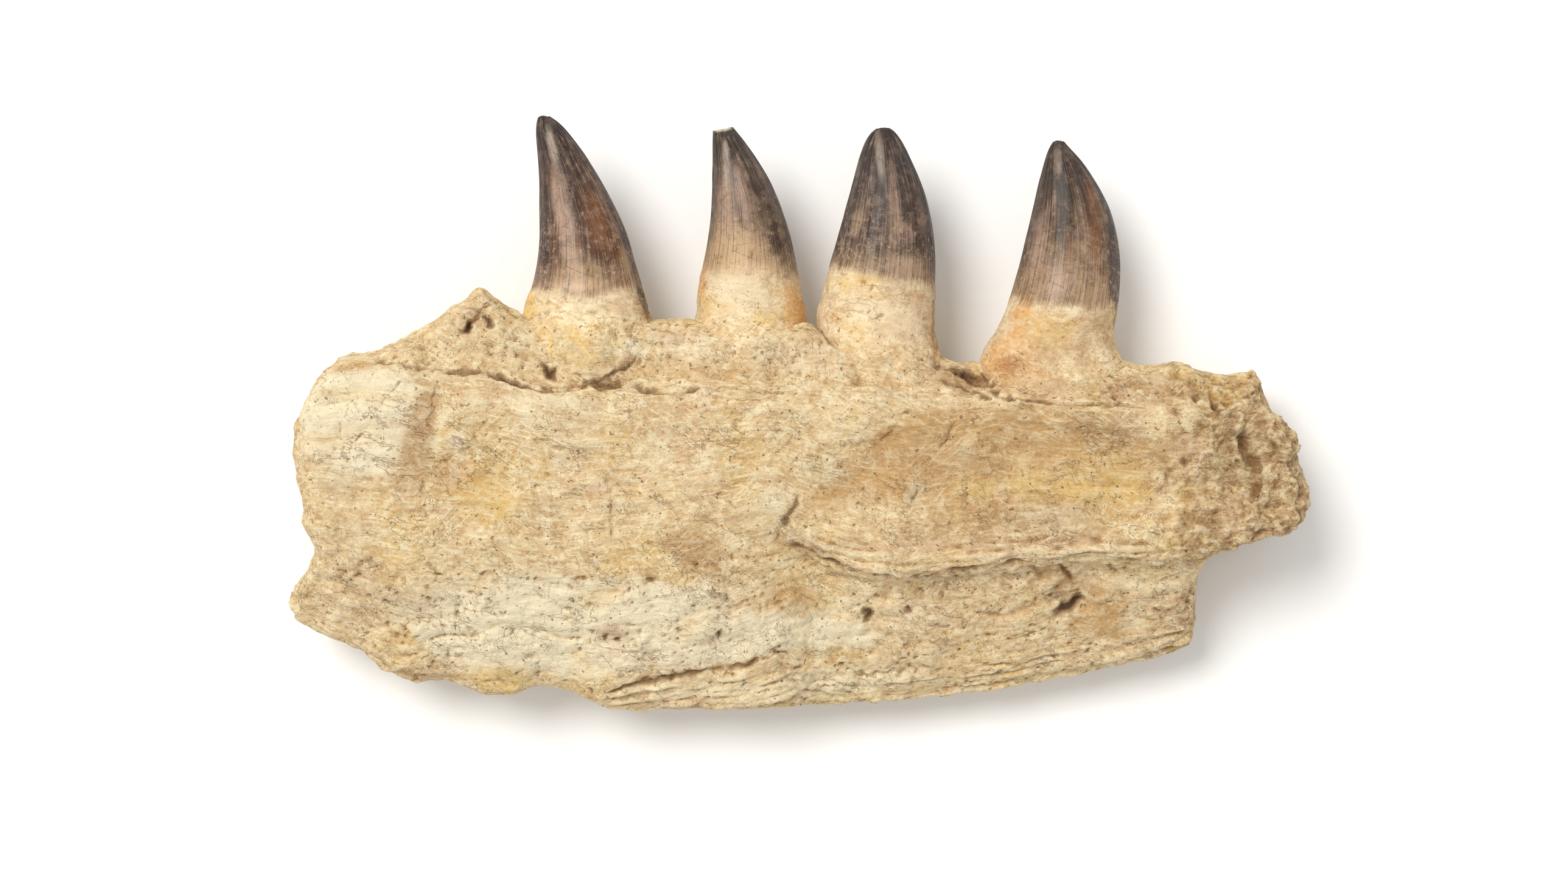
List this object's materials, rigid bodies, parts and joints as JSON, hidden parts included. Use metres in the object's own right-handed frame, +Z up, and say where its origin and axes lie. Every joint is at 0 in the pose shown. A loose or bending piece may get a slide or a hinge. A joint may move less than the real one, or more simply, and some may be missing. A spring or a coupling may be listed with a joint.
{
  "type": "mosasaur jaw",
  "caption": "Fossil section of a mosasaur's lower jaw with a row of pointed teeth, lying on its outer side with the inner face up.",
  "frame": {"origin": "middle of the jaw's bounding box, on the surface it lies on", "axes": "+X along the jaw, away from the side the tooth tips lean to; +Y from the bone towards the tooth tips; +Z up, out of the inner face"},
  "size_m": [0.2814, 0.1636, 0.0466],
  "materials": {
    "fossil_bone": "matte",
    "fossil_tooth": "satin"
  },
  "bodies": {
    "root": {"jaw_bone": "fossil_bone", "tooth_1": "fossil_tooth", "tooth_2": "fossil_tooth", "tooth_3": "fossil_tooth", "tooth_4": "fossil_tooth"}
  },
  "joints": []
}
